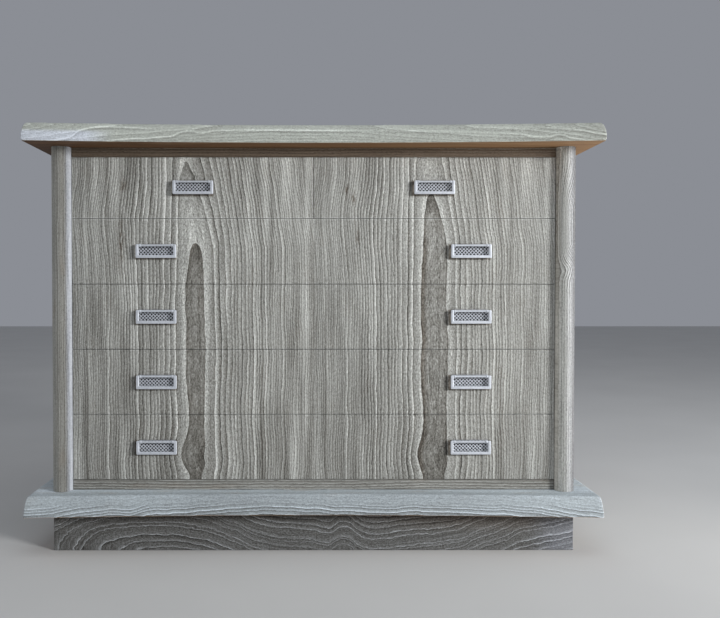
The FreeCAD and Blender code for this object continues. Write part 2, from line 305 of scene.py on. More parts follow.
def grain_upright(n, across, depth, z, seed, spacing, slow=6.0, contrast=0.85, base=0.66):
    """upright quarter- to plain-sawn grain for posts and side panels"""
    a = across + n.noise(across / 70.0, z / 150.0, seed) * slow + n.noise(across / 16.0, z / 40.0, seed + 3.0) * 1.3
    d = n.noise(across / 120.0, z / 260.0, seed + 6.0) * slow + depth
    r = n.sqrt(a * a + d * d)
    tone, height, k, f = ring_tone(n, r, spacing, seed, contrast)
    fine, coarse, pore = fibres(n, a, z, seed + 20.0)
    cloud = n.noise(across / 30.0, z / 160.0, seed + 33.0)
    tone = tone + base + fine * 0.10 + coarse * 0.08 + cloud * 0.06 - pore * 0.12
    height = height + fine * 0.06 - pore * 0.14
    warm = n.step(n.noise(across / 18.0, z / 80.0, seed + 40.0), 0.2, 0.8) * 0.35
    return Grain(height, tone, warm)


def grain_left_post(n):
    """quiet upright grain, with a painted bluish-white highlight down the inner edge"""
    # low base tone: painted shade, keeping this post darker than the right one
    g = grain_upright(n, n.x + 700.0 - (n.y + 160.0) * 0.25, 30.0, n.z, 3.0, 3.1, slow=2.0, contrast=0.5, base=0.49)
    inner = n.step(n.x, -521.0, -513.0)
    sheen_tone = n.noise(n.x / 5.0, n.z / 120.0, 37.0) * 0.05 + 0.84
    mott = n.noise(n.x / 2.6, n.z / 5.5, 39.0, detail=1.0, rough=0.6) * 0.10
    # outer flank painted lighter, painted light; a narrow band just outside the highlight painted darker, painted shade
    tone = g.tone * (1.0 - inner * 0.8) + sheen_tone * inner * 0.8 + mott + n.step(n.x, -537.0, -549.0) * 0.17 - n.gauss(n.x, -523.5, 2.4) * 0.11
    return Grain(g.height * (1.0 - inner * 0.5), tone, g.warm * (1.0 - inner), n.step(n.x, -525.0, -516.0) * 0.6)


def grain_right_post(n):
    """straight but for one swirl round a hidden knot, at two thirds of the height"""
    x, z = n.x, n.z
    out = n.step(x, 512.0, 536.0)
    # lines come down from the right edge, run straight, then swing back to the right
    turn = n.step(z, 826.0, 720.0) * n.step(z, 600.0, 654.0)
    calm = n.step(z, 580.0, 520.0) + n.step(z, 816.0, 856.0)
    a = x + out * turn * 26.0 - out * n.gauss(z, 596.0, 17.0) * 7.0 + (n.y + 160.0) * 0.25
    a = a + n.noise(x / 9.0, z / 13.0, 63.0, detail=1.0) * 1.3
    t = a / 4.9 + n.noise(a / 13.0, 57.5) * 0.8
    k = n.floor(t)
    f = t - k
    w1, w2 = n.white(k + 57.0), n.white(k + 157.0)
    line = n.exp(f * (-1.0 / 0.2)) * (w1 * 0.8 + 0.4)
    dark = n.exp((f - 1.0) / 0.2) * (w2 * 0.8 + 0.4)
    fine, coarse, pore = fibres(n, a, z, 77.0)
    mott = n.noise(a / 2.6, z / 5.0, 79.0, detail=1.0, rough=0.6)
    swirl = 1.0 - n.min(calm, 1.0) * 0.55
    tone = (line * 0.31 - dark * 0.44 - f * 0.11) * swirl + 0.72 + fine * 0.10 + coarse * 0.10 + mott * 0.16 - pore * 0.12
    # painted light and shade across the round: the inner flank lighter and browner, the outer flank darker with a
    # painted bluish sheen
    tone = tone + (534.0 - x) * 0.0045 + n.step(x, 527.0, 516.0) * 0.17 - n.step(x, 534.0, 548.0) * 0.26
    height = line * 0.5 + (1.0 - f) * 0.4 - dark * 0.25 + fine * 0.06 - pore * 0.14
    return Grain(height, tone, n.step(x, 524.0, 515.0) * 0.35, n.step(x, 524.0, 545.0) * 0.4)


def grain_left_panel(n):
    return grain_upright(n, n.y - 28.0, n.x + 670.0 + n.z * 0.06, n.z, 83.0, 4.4, slow=4.5, base=0.60)


def grain_right_panel(n):
    return grain_upright(n, n.y - 62.0, 680.0 - n.x + n.z * 0.052, n.z, 131.0, 4.4, slow=4.5, base=0.54)


def grain_lying(n, along, across, depth, seed, spacing, slow, mid=1.4, contrast=0.75, base=0.62, vary_at=2.6):
    """grain along the board"""
    r = n.sqrt(across * across + depth * depth)
    r = r + n.noise(along / 260.0, across / 150.0, seed) * slow
    r = r + n.noise(along / 62.0, across / 30.0, seed + 5.0, detail=1.0) * mid
    r = r + n.noise(along / 13.0, across / 7.0, seed + 8.0) * 0.4
    tone, height, k, f = ring_tone(n, r, spacing, seed, contrast, vary_at=vary_at)
    fine = n.noise(along / 40.0, across / 1.6, depth / 1.6 + seed, detail=1.0)
    pore = n.step(n.noise(along / 5.4, across / 1.9, depth / 1.9 + seed + 30.0, detail=1.0, rough=0.6), 0.06, 0.46)
    mott = n.noise(along / 6.0, across / 2.6, depth / 2.6 + seed + 33.0, detail=1.0, rough=0.6)
    cloud = n.noise(along / 170.0, across / 40.0, seed + 36.0)
    tone = tone + base + fine * 0.10 + mott * 0.10 + cloud * 0.05 - pore * 0.12
    height = height + fine * 0.05 + mott * 0.06 - pore * 0.14
    warm = n.step(n.noise(along / 90.0, across / 22.0, seed + 47.0), 0.15, 0.8) * 0.3
    return Grain(height, tone, warm)


LINE_A = [(-590, 848), (-508, 860), (-492, 865), (-473, 878), (-456, 883), (-430, 886), (-328, 884), (-200, 886), (0, 889),
          (300, 889), (400, 888), (496, 882), (541, 877), (566, 872), (590, 868)]
LINE_B = [(-590, 830), (-420, 856), (-393, 860), (-330, 864), (-295, 867), (-278, 873), (-254, 879), (-227, 876), (-202, 880),
          (-99, 882), (31, 881), (200, 880), (357, 875), (419, 871), (450, 866), (476, 865), (496, 869), (514, 864),
          (535, 860), (590, 852)]


def grain_top(n):
    """quiet grain on top; along the moulded front edge two long wavy ridges stand out"""
    edge = n.step(n.y, -150.0, -196.0)
    g = grain_lying(n, n.x, n.y - 34.0, n.z - 700.0, 12.0, 5.0, 5.5, mid=1.3, contrast=0.42 - edge * 0.14, base=0.73)
    wob = n.noise(n.x / 24.0, n.z / 20.0, 71.0, detail=1.0) * 1.3
    va = n.z + wob - n.curve(n.x, LINE_A, 820.0, 900.0)
    vb = n.z + wob - n.curve(n.x, LINE_B, 820.0, 900.0)
    seen_a = n.step(n.x, -300.0, -370.0) + n.step(n.x, 420.0, 500.0)
    seen_b = 1.0 - n.step(n.x, 0.0, 120.0) * 0.55 + n.step(n.x, 330.0, 430.0) * 0.5
    ridges = (n.gauss(va, 0.0, 1.7) * seen_a + n.gauss(vb, 0.0, 1.8) * seen_b) * edge
    grooves = (n.gauss(va, -3.6, 2.2) * seen_a + n.gauss(vb, -3.9, 2.4) * seen_b) * edge
    # a painted bluish-white sheen low on the left end of the front edge
    sheen_patch = n.step(n.y, -60.0, -225.0) * n.step(n.x, -400.0, -470.0) * n.step(n.z, 882.0, 873.0) * n.step(n.z, 856.2, 857.2)
    stipple = n.noise(n.x / 2.6, n.z / 2.4, n.y / 2.6, detail=1.0, rough=0.6) * edge
    tone = g.tone + ridges * 0.19 - grooves * 0.10 + sheen_patch * 0.13 + stipple * 0.16 - n.step(n.x, 240.0, 470.0) * edge * 0.07
    return Grain(g.height + ridges * 0.45 - grooves * 0.2, tone, g.warm * (1.0 - edge * 0.7), sheen_patch * 0.75)


def grain_plinth(n):
    """smooth towards the upper rim, with close wavy lines low on the front edge"""
    lift = n.step(n.x, -600.0, -250.0) * 11.0 + n.step(n.x, 150.0, -100.0) * 4.0
    edge = n.step(n.y, -150.0, -200.0)
    low = n.step(n.z, 114.0, 99.0)
    hump = n.gauss(n.x, -335.0, 26.0) * 5.0 - n.gauss(n.x, -385.0, 30.0) * 3.0 + n.gauss(n.x, 210.0, 40.0) * 3.0
    g = grain_lying(n, n.x, n.y + 20.0, n.z + 62.0 - lift - hump * edge, 26.0, 4.0, 5.0, mid=2.6,
                    contrast=(1.0 - edge) * 0.45 + edge * (low * 1.05 + 0.14), base=0.675)
    stipple = n.noise(n.x / 2.8, n.z / 2.4, n.y / 2.8, detail=1.0, rough=0.6) * edge
    # the upper face lighter towards the case: painted light against the shade the case casts on it
    tone = g.tone + stipple * 0.18 + n.step(n.y, -196.0, -168.0) * 0.15 - n.step(n.z, 93.0, 87.0) * 0.12
    tone = tone + n.step(n.abs(n.x), 220.0, 420.0) * 0.075
    return Grain(g.height, tone, g.warm)


def grain_rails(n):
    return grain_lying(n, n.x, n.z - 60.0, n.y + 330.0, 93.0, 2.6, 2.0, mid=0.7, contrast=0.78, base=0.52, vary_at=3.5)


def grain_upper_rail(n):
    g = grain_lying(n, n.x, n.z - 760.0, n.y + 300.0, 97.0, 2.8, 2.0, mid=0.7, contrast=0.6, base=0.37, vary_at=3.5)
    # lighter towards the right end: painted light
    return Grain(g.height, g.tone * 0.9 + n.step(n.x, 120.0, 490.0) * 0.11 + 0.01, g.warm * 0.0 + 0.88)


BASE_END = [(-560, 82), (-532, 69), (-512, 60), (-493, 52), (-476, 44), (-457, 34), (-428, 24), (-398, 16), (-362, 4), (-340, 0)]
BASE_HILLS = [(-345, 0), (-296, 0), (-254, -6), (-216, -15), (-186, -27), (-160, -36), (-131, -51), (-106, -58), (-63, -66),
              (-4, -69), (30, -76), (59, -62), (93, -79), (125, -89), (197, -82), (299, -71), (350, -50), (409, -30), (443, -14),
              (510, -1), (556, 10)]
BASE_RINGS = [(-20, -2), (7, 0), (20, 1), (33, 2), (52, 3), (60, 4), (75, 5), (86, 6), (92, 7), (113, 8), (124, 9), (137, 10),
              (149, 11), (161, 12), (175, 13), (200, 15)]


def grain_base_front(n):
    """big rolling contours, as where a board is cut along the rings"""
    x, z = n.x, n.z
    end = n.curve(n.min(n.max(x, -560.0), -340.0), BASE_END, 0.0, 90.0)
    v = n.sqrt(z * z + end * end) - n.curve(n.max(x, -345.0), BASE_HILLS, -110.0, 20.0)
    v = v + n.noise(x / 34.0, z / 30.0, 7.0, detail=1.0) * 3.8 + n.noise(x / 11.0, z / 10.0, 9.0, detail=1.0) * 2.5
    t = n.curve(v, BASE_RINGS, -3.0, 16.0)
    k = n.floor(t)
    f = t - k
    w1, w2 = n.white(k + 41.0), n.white(k + 141.0)
    line = n.exp(f * (-1.0 / 0.10)) * (w1 * 0.55 + 0.6)
    dark = n.exp((f - 1.0) / 0.16) * (w2 * 0.6 + 0.3)
    thin = n.noise(v / 3.4, x / 190.0, 57.0)
    fine = n.noise(x / 26.0, v / 2.2, 61.0, detail=1.0)
    mott = n.noise(x / 4.8, v / 2.7, 65.0, detail=1.0, rough=0.65)
    pore = n.step(n.noise(x / 4.0, v / 2.0, 67.0, detail=1.0, rough=0.6), 0.05, 0.45)
    sand = n.noise(x / 2.4, z / 2.2, 69.0, detail=1.0, rough=0.6)
    face = n.step(n.y, -160.0, -163.5) * 0.75 + 0.25
    tone = (line * 0.54 - dark * 0.40) * face + 0.30 + thin * 0.13 + fine * 0.11 + mott * 0.26 + sand * 0.22 - pore * 0.16
    # darker towards the top, under the plinth: painted shade; the right end lighter with a bluish tint: painted light
    # and painted sheen
    tone = tone - n.step(z, 46.0, 82.0) * 0.12 + n.step(x, 455.0, 530.0) * 0.10
    height = line * 0.6 + (1.0 - f) * 0.25 - dark * 0.25 + mott * 0.1 - pore * 0.15 + thin * 0.1
    right_end = n.step(x, 440.0, 520.0)
    # browner close under the plinth: painted shade
    warm = n.step(z, 62.0, 86.0) * 0.45 + n.step(x, 60.0, 330.0) * n.step(z, 30.0, 74.0) * (1.0 - right_end) * 0.32
    return Grain(height, tone, warm, right_end * 0.45)


def grain_base_back(n):
    return grain_lying(n, n.x, n.z + 30.0, n.y - 120.0, 151.0, 4.2, 6.0)


def grain_base_sides(n):
    return grain_lying(n, n.y, n.z + 25.0, n.max(n.x, -n.x) - 400.0, 163.0, 4.4, 6.0, base=0.56)


# ------------------------------------------------------------------ materials
def lin(r, g, b):
    """a screen colour 0..255 as linear light"""
    return tuple((c / 255.0 / 12.92) if c / 255.0 <= 0.04045 else ((c / 255.0 + 0.055) / 1.055) ** 2.4 for c in (r, g, b)) + (1.0,)


def ramp(n, value, stops):
    c = n.tree.nodes.new("ShaderNodeValToRGB")
    n.put(value, c.inputs[0])
    e = c.color_ramp.elements
    while len(e) < len(stops):
        e.new(0.5)
    for q, (at, colour) in zip(e, stops):
        q.position = at
        q.color = lin(*colour)
    return c.outputs[0]


def mix_colour(n, share, a, b):
    m = n.tree.nodes.new("ShaderNodeMix")
    m.data_type = "RGBA"
    n.put(share, m.inputs["Factor"])
    for value, socket in ((a, m.inputs[6]), (b, m.inputs[7])):
        if isinstance(value, tuple):
            socket.default_value = value
        else:
            n.tree.links.new(value, socket)
    return m.outputs[2]


def new_material(name):
    m = bpy.data.materials.new(name)
    m.use_nodes = True
    tree = m.node_tree
    shader = next(q for q in tree.nodes if q.type == "BSDF_PRINCIPLED")
    place = tree.nodes.new("ShaderNodeTexCoord")
    return m, Net(tree, place.outputs["Object"]), shader


def bump(n, shader, height, distance, strength=1.0):
    b = n.tree.nodes.new("ShaderNodeBump")
    b.inputs["Distance"].default_value = distance
    b.inputs["Strength"].default_value = strength
    n.put(height, b.inputs["Height"])
    n.tree.links.new(b.outputs[0], shader.inputs["Normal"])


GREY = [(0.0, (46, 44, 39)), (0.22, (84, 82, 76)), (0.45, (122, 121, 115)), (0.62, (149, 149, 144)),
        (0.80, (180, 181, 175)), (1.0, (222, 223, 218))]
RAW = [(0.0, (112, 80, 52)), (0.35, (158, 120, 84)), (0.65, (187, 150, 112)), (1.0, (214, 182, 146))]


def raw_parts(n, along, across, depth, seed):
    """planed, unstained wood: soft rings, thin pores"""
    r = n.sqrt(across * across + depth * depth)
    r = r + n.noise(along / 190.0, across / 90.0, seed) * 5.0 + n.noise(along / 40.0, across / 20.0, seed + 2.0) * 0.8
    tone, height, k, f = ring_tone(n, r, 5.2, seed, 0.55)
    fine = n.noise(along / 34.0, across / 1.2, depth / 1.2 + seed, detail=1.0)
    pore = n.step(n.noise(along / 6.0, across / 1.1, depth / 1.1 + seed + 7.0), 0.3, 0.6)
    tone = tone + 0.6 + fine * 0.09 + n.noise(along / 120.0, across / 50.0, seed + 12.0) * 0.07 - pore * 0.12
    return tone, height * 0.5 + fine * 0.2 - pore * 0.3


def tinted(stops, tint):
    return [(at, tuple(c * q for c, q in zip(colour, tint))) for at, colour in stops]


def grey_wood(name, grain, raw=None, tint=(1.0, 1.0, 1.0), deep=(1.0, 1.0, 1.0), painted_light_slope=0.0):
    """brushed, grey-washed wood. raw(n) is 1 where the wood is left bare"""
    m, n, shader = new_material(name)
    g = grain(n)
    wear = n.noise(n.x / 90.0, n.y / 90.0, n.z / 90.0, detail=2.0)
    tone = g.tone + wear * 0.03
    colour = ramp(n, tone, tinted(GREY, tint))
    brown = ramp(n, tone, [(0.0, (56, 42, 30)), (0.5, (124, 108, 90)), (1.0, (200, 190, 172))])
    colour = mix_colour(n, n.min(n.max(g.warm, 0.0), 1.0), colour, brown)
    # painted sheen: a bluish pale colour mixed in where the grain asks for it
    if g.painted_sheen is not None:
        sheen_colour = ramp(n, tone, [(0.0, (44, 46, 52)), (0.5, (126, 131, 142)), (1.0, (216, 222, 234))])
        colour = mix_colour(n, n.min(n.max(g.painted_sheen, 0.0), 1.0), colour, sheen_colour)
    rough = n.step(tone, 0.1, 0.9, 0.80, 0.56)
    height = g.height
    if raw is not None:
        bare = raw(n)
        raw_tone, raw_height = raw_parts(n, n.x, n.y, n.z + 300.0, 7.0)
        # the bare wood lighter along x by the given slope: painted light; deep darkens it, painted shade where used
        raw_tone = raw_tone + n.x * painted_light_slope
        colour = mix_colour(n, bare, colour, ramp(n, raw_tone, tinted(RAW, deep)))
        height = height * (1.0 - bare) + raw_height * bare * 0.3
        rough = rough * (1.0 - bare) + bare * 0.62
    n.tree.links.new(colour, shader.inputs["Base Color"])
    n.put(rough, shader.inputs["Roughness"])
    shader.inputs["Specular IOR Level"].default_value = 0.42
    bump(n, shader, height, 0.00034)
    return m


def raw_wood(name, along, seed):
    """bare wood of the carcass; along is the axis that the grain follows"""
    m, n, shader = new_material(name)
    axes = {"x": (n.x, n.z - 420.0, n.y + 520.0), "y": (n.y, n.x * 0.35 + 260.0, n.z + 190.0),
            "z": (n.z, n.x - 60.0, n.y - 110.0 + n.z * 0.085)}[along]
    tone, height = raw_parts(n, axes[0], axes[1], axes[2], seed)
    n.tree.links.new(ramp(n, tone, RAW), shader.inputs["Base Color"])
    n.put(n.step(tone, 0.1, 0.9, 0.72, 0.55), shader.inputs["Roughness"])
    shader.inputs["Specular IOR Level"].default_value = 0.35
    bump(n, shader, height, 0.00012)
    return m


def metal(name, lattice=False, bail=False):
    """pale matt silver with fine scratches, duller in the hollows, with painted shade under the bail's bar and on the
    bail's sides towards the back
    """
    m, n, shader = new_material(name)
    scratch = n.noise(n.x / 0.5, n.z / 6.0, n.y / 0.9, detail=2.0)
    stain = n.noise(n.x / 7.0, n.y / 5.0, n.z / 7.0, detail=3.0, rough=0.6)
    tone = stain * 0.20 + scratch * 0.12 + 0.84
    if lattice:
        deep = n.step(n.y, -161.0, -160.5)
        # painted shade: darkest close under the bar of the bail
        row_z = n.z - n.floor((n.z - 150.7) / 139.0) * 139.0 - 218.7
        tone = tone - deep * 0.80 - n.step(row_z, 4.5, 8.5) * 0.26
    if bail:
        # the bail's sides darker towards the back: painted shade
        tone = tone - n.step(n.y, -169.8, -166.6) * 0.40
    colour = ramp(n, tone, [(0.0, (36, 34, 36)), (0.3, (91, 90, 94)), (0.6, (178, 182, 188)), (1.0, (220, 225, 232))])
    n.tree.links.new(colour, shader.inputs["Base Color"])
    n.put(n.step(tone, 0.0, 1.0, 0.68, 0.44), shader.inputs["Roughness"])
    shader.inputs["Metallic"].default_value = 0.45
    shader.inputs["Specular IOR Level"].default_value = 0.6
    bump(n, shader, scratch * 0.5 + stain * 0.5, 0.00006)
    return m


def back_of(y):
    return lambda n: n.step(n.y, y, y + 0.5)


GRAINS = {
    "fronts": (grain_fronts, 0.5), "left_post": (grain_left_post, 0.34), "right_post": (grain_right_post, 0.5),
    "left_panel": (grain_left_panel, 0.42), "right_panel": (grain_right_panel, 0.42), "top": (grain_top, 0.36),
    "plinth": (grain_plinth, 0.36), "rails": (grain_rails, 0.36), "upper_rail": (grain_upper_rail, 0.3), "base_front": (grain_base_front, 0.5),
    "base_back": (grain_base_back, 0.4), "base_sides": (grain_base_sides, 0.4),
}
LOOKS = {
    "fronts": grey_wood("grey_wood_fronts", grain_fronts, back_of(Y_FACE + FRONT_T - 0.7)),
    "left_post": grey_wood("grey_wood_left_post", grain_left_post),
    "right_post": grey_wood("grey_wood_right_post", grain_right_post),
    "left_panel": grey_wood("grey_wood_left_panel", grain_left_panel, lambda n: n.step(n.x, -541.0, -540.0)),
    "right_panel": grey_wood("grey_wood_right_panel", grain_right_panel, lambda n: n.step(n.x, 541.0, 540.0)),
    # the top's bare underside: painted shade, darker and browner, and painted light, lighter towards the right end
    "top": grey_wood("grey_wood_top", grain_top, lambda n: n.step(n.z, 856.45, 856.1), (0.98, 1.0, 0.985), (0.66, 0.61, 0.54), 0.0006),
    "plinth": grey_wood("grey_wood_plinth", grain_plinth, lambda n: n.step(n.z, 86.75, 86.4), (0.955, 1.0, 1.055)),
    "rails": grey_wood("grey_wood_rails", grain_rails, back_of(-156.0)),
    "upper_rail": grey_wood("grey_wood_upper_rail", grain_upper_rail, back_of(-156.0)),
    "base_front": grey_wood("grey_wood_base_front", grain_base_front, back_of(-143.8), (0.965, 0.985, 1.03)),
    "base_back": grey_wood("grey_wood_base_back", grain_base_back, lambda n: n.step(n.y, 213.2, 212.8)),
    "base_sides": grey_wood("grey_wood_base_sides", grain_base_sides, lambda n: n.step(n.max(n.x, -n.x), 549.0, 548.0)),
    "raw_x": raw_wood("raw_wood_along_x", "x", 5.0),
    "raw_y": raw_wood("raw_wood_along_y", "y", 15.0),
    "raw_z": raw_wood("raw_wood_along_z", "z", 25.0),
    "metal": metal("silver_metal"),
    "bail": metal("silver_bail", bail=True),
    "lattice": metal("silver_lattice", lattice=True),
}


# ------------------------------------------------------------------ meshes
def make_mesh(name, verts, quads, others=(), angle=32.0):
    """verts in millimetres; quads an (m, 4) array; others: longer polygons"""
    mesh = bpy.data.meshes.new(name)
    verts = np.asarray(verts, np.float32) * MM
    quads = np.asarray(quads, np.int32).reshape(-1, 4)
    others = [list(map(int, p)) for p in others]
    index = np.concatenate([quads.ravel()] + [np.array(p, np.int32) for p in others]) if others else quads.ravel()
    sizes = np.concatenate([np.full(len(quads), 4), np.array([len(p) for p in others], int)]).astype(int)
    mesh.vertices.add(len(verts))
    mesh.vertices.foreach_set("co", verts.ravel())
    mesh.loops.add(len(index))
    mesh.loops.foreach_set("vertex_index", index)
    mesh.polygons.add(len(sizes))
    starts = np.concatenate([[0], np.cumsum(sizes)[:-1]]).astype(np.int32)
    mesh.polygons.foreach_set("loop_start", starts)
    mesh.update(calc_edges=True)
    mesh.validate()
    tidy(mesh, angle)
    ob = bpy.data.objects.new(name, mesh)
    bpy.context.scene.collection.objects.link(ob)
    return ob


def tidy(mesh, angle=32.0, weld=0.0):
    bm = bmesh.new()
    bm.from_mesh(mesh)
    if weld:
        bmesh.ops.remove_doubles(bm, verts=bm.verts, dist=weld)
    bmesh.ops.recalc_face_normals(bm, faces=bm.faces)
    bm.to_mesh(mesh)
    bm.free()
    mesh.polygons.foreach_set("use_smooth", np.ones(len(mesh.polygons), bool))
    mesh.set_sharp_from_angle(angle=math.radians(angle))


def stops(lo, hi, step, radius):
    """places from lo to hi about step apart, close together in the rounded rims"""
    rim = [radius * (1.0 - math.cos(math.radians(q))) for q in (0, 18, 36, 54, 72, 90)] if radius else [0.0]
    inner = np.linspace(lo + radius, hi - radius, max(2, int(round((hi - lo - 2 * radius) / step)) + 1))
    return np.array([lo + q for q in rim[:-1]] + list(inner) + [hi - q for q in reversed(rim[:-1])])


def board(name, u, v, d, radius, place, angle=32.0):
    """closed board. u and v: places along its face, d: (face, back) depth,
    place(u, v, d) puts a point. The face's rim is rounded with the radius."""
    nu, nv = len(u), len(v)
    gu, gv = np.meshgrid(u, v, indexing="ij")
    sign = 1.0 if d[1] > d[0] else -1.0
    eu = np.clip(radius - np.minimum(gu - u[0], u[-1] - gu), 0, radius)
    ev = np.clip(radius - np.minimum(gv - v[0], v[-1] - gv), 0, radius)
    e = np.clip(np.hypot(eu, ev), 0, radius)
    gd = d[0] + sign * (radius - np.sqrt(np.maximum(radius * radius - e * e, 0.0)))
    face = np.stack([gu, gv, gd], -1).reshape(-1, 3)
    idx = np.arange(nu * nv).reshape(nu, nv)
    quads = [np.stack([idx[:-1, :-1], idx[1:, :-1], idx[1:, 1:], idx[:-1, 1:]], -1).reshape(-1, 4)]
    loop = list(idx[:, 0]) + list(idx[-1, 1:]) + list(idx[-2::-1, -1]) + list(idx[0, -2:0:-1])
    count = len(face)
    back = face[loop].copy()
    back[:, 2] = d[1]
    nb = len(loop)
    a = np.array(loop)
    b = np.arange(nb) + count
    quads.append(np.stack([a, np.roll(a, -1), np.roll(b, -1), b], -1))
    # back face: strips between the two long rims
    low = b[:nu]
    high = b[nu + nv - 2: 2 * nu + nv - 2][::-1]
    others = []
    strip = np.stack([low[:-1], low[1:], high[1:], high[:-1]], -1)
    quads.append(strip[1:-1])
    right_side = b[nu - 1: nu + nv - 1]
    left_side = np.concatenate([b[2 * nu + nv - 3:], b[:1]])
    others.append([low[-2]] + list(right_side) + [high[-2]])
    others.append([low[1], high[1]] + list(left_side))
    pts = np.concatenate([face, back])
    x, y, z = place(pts[:, 0], pts[:, 1], pts[:, 2])
    return make_mesh(name, np.stack([x, y, z], -1), np.concatenate(quads), others, angle)


def smooth_profile(points, levels):
    """a smooth curve through the points, with vertices at the given number of levels"""
    p = np.array(points, float)
    m = np.zeros_like(p)
    m[1:-1] = (p[2:] - p[:-2]) / 2
    m[0], m[-1] = p[1] - p[0], p[-1] - p[-2]
    out = []
    for t in np.linspace(0, len(p) - 1, levels):
        i = min(int(t), len(p) - 2)
        q = t - i
        h = (2 * q**3 - 3 * q**2 + 1, q**3 - 2 * q**2 + q, -2 * q**3 + 3 * q**2, q**3 - q**2)
        out.append(h[0] * p[i] + h[1] * m[i] + h[2] * p[i + 1] + h[3] * m[i + 1])
    return np.array(out)


def moulded(name, edge, half, bow, y_front, y_back, z0, nx, ny, levels, corner=2.5):
    """board with a moulded edge on its front and ends, the front edge bowed in"""
    radius = (half * half + bow * bow) / (2.0 * bow)
    yc = y_front + bow - radius
    us = np.concatenate([[0, 0.3, 0.6, 1.0], np.linspace(0, 1, nx)[1:-1] * 0 + 2.0, [1.0, 0.6, 0.3, 0]])
    prof = smooth_profile(edge, levels)

    def layer(inset, height):
        h = half - inset
        rim = np.array([0.0, 0.3, 0.6, 1.0]) * corner
        xs = np.concatenate([-h + rim[:-1], np.linspace(-h + corner, h - corner, nx), h - rim[:-1][::-1]])
        depth = np.concatenate([rim[:-1], corner + np.linspace(0, 1, ny) ** 1.0 * 1.0 - 0.0])
        yf = yc + np.sqrt(np.maximum((radius + inset) ** 2 - xs * xs, 0.0))
        share = np.linspace(0, 1, ny)
        grid_x = np.repeat(xs[:, None], 3 + ny, 1)
        full = y_back - yf
        dy = np.concatenate([np.repeat(rim[None, :-1], len(xs), 0), corner + share[None, :] * (full[:, None] - corner)], 1)
        dx = h - np.abs(grid_x)
        # round the two upright corners at the front
        qa = np.clip((corner - dx) / corner, 0, 1)
        qb = np.clip((corner - dy) / corner, 0, 1)
        na = qa * np.sqrt(1 - qb * qb / 2)
        nb = qb * np.sqrt(1 - qa * qa / 2)
        both = (qa > 0) & (qb > 0)
        dx2 = np.where(both, corner - na * corner, dx)
        dy2 = np.where(both, corner - nb * corner, dy)
        x = np.sign(grid_x) * (h - dx2)
        y = yf[:, None] + dy2
        return np.stack([x, y, np.full_like(x, z0 + height)], -1)

    bottom = layer(*prof[0])
    top = layer(*prof[-1])
    nu, nv = bottom.shape[:2]
    idx = np.arange(nu * nv).reshape(nu, nv)
    loop = list(idx[:, 0]) + list(idx[-1, 1:]) + list(idx[-2::-1, -1]) + list(idx[0, -2:0:-1])
    face = np.stack([idx[:-1, :-1], idx[1:, :-1], idx[1:, 1:], idx[:-1, 1:]], -1).reshape(-1, 4)
    verts = [bottom.reshape(-1, 3), top.reshape(-1, 3)]
    quads = [face[:, ::-1], face + nu * nv]
    count = 2 * nu * nv
    ring = [np.array(loop)]
    for inset, height in prof[1:-1]:
        pts = layer(inset, height).reshape(-1, 3)[loop]
        verts.append(pts)
        ring.append(np.arange(len(loop)) + count)
        count += len(loop)
    ring.append(np.array(loop) + nu * nv)
    for a, b in zip(ring[:-1], ring[1:]):
        quads.append(np.stack([a, np.roll(a, -1), np.roll(b, -1), b], -1))
    return make_mesh(name, np.concatenate(verts), np.concatenate(quads), (), 34.0)


def post(name, x0, x1):
    """half-round post"""
    xm, r = (x0 + x1) / 2, (x1 - x0) / 2
    arc = [(xm - r * math.cos(q), Y_FACE - 21.0 * math.sin(q)) for q in np.linspace(0, math.pi, 61)]
    side = list(np.linspace(-142.3, Y_FACE, 9)[:-1])
    plan = [(x0 + 0.8, -141.5), (x0 + 0.25, -141.75)] + [(x0, q) for q in side] + arc
    plan += [(x1, q) for q in reversed(side)] + [(x1 - 0.25, -141.75), (x1 - 0.8, -141.5)]
    plan = np.array(plan)
    zs = stops(Z_CASE, Z_TOP, 5.0, 0.0)
    n, m = len(plan), len(zs)
    verts = np.concatenate([np.concatenate([plan, np.full((n, 1), z)], 1) for z in zs])
    idx = np.arange(n * m).reshape(m, n)
    a, b = idx[:-1], idx[1:]
    quads = np.stack([a, np.roll(a, -1, 1), np.roll(b, -1, 1), b], -1).reshape(-1, 4)
    return make_mesh(name, verts, quads, [list(idx[0])[::-1], list(idx[-1])], 40.0)


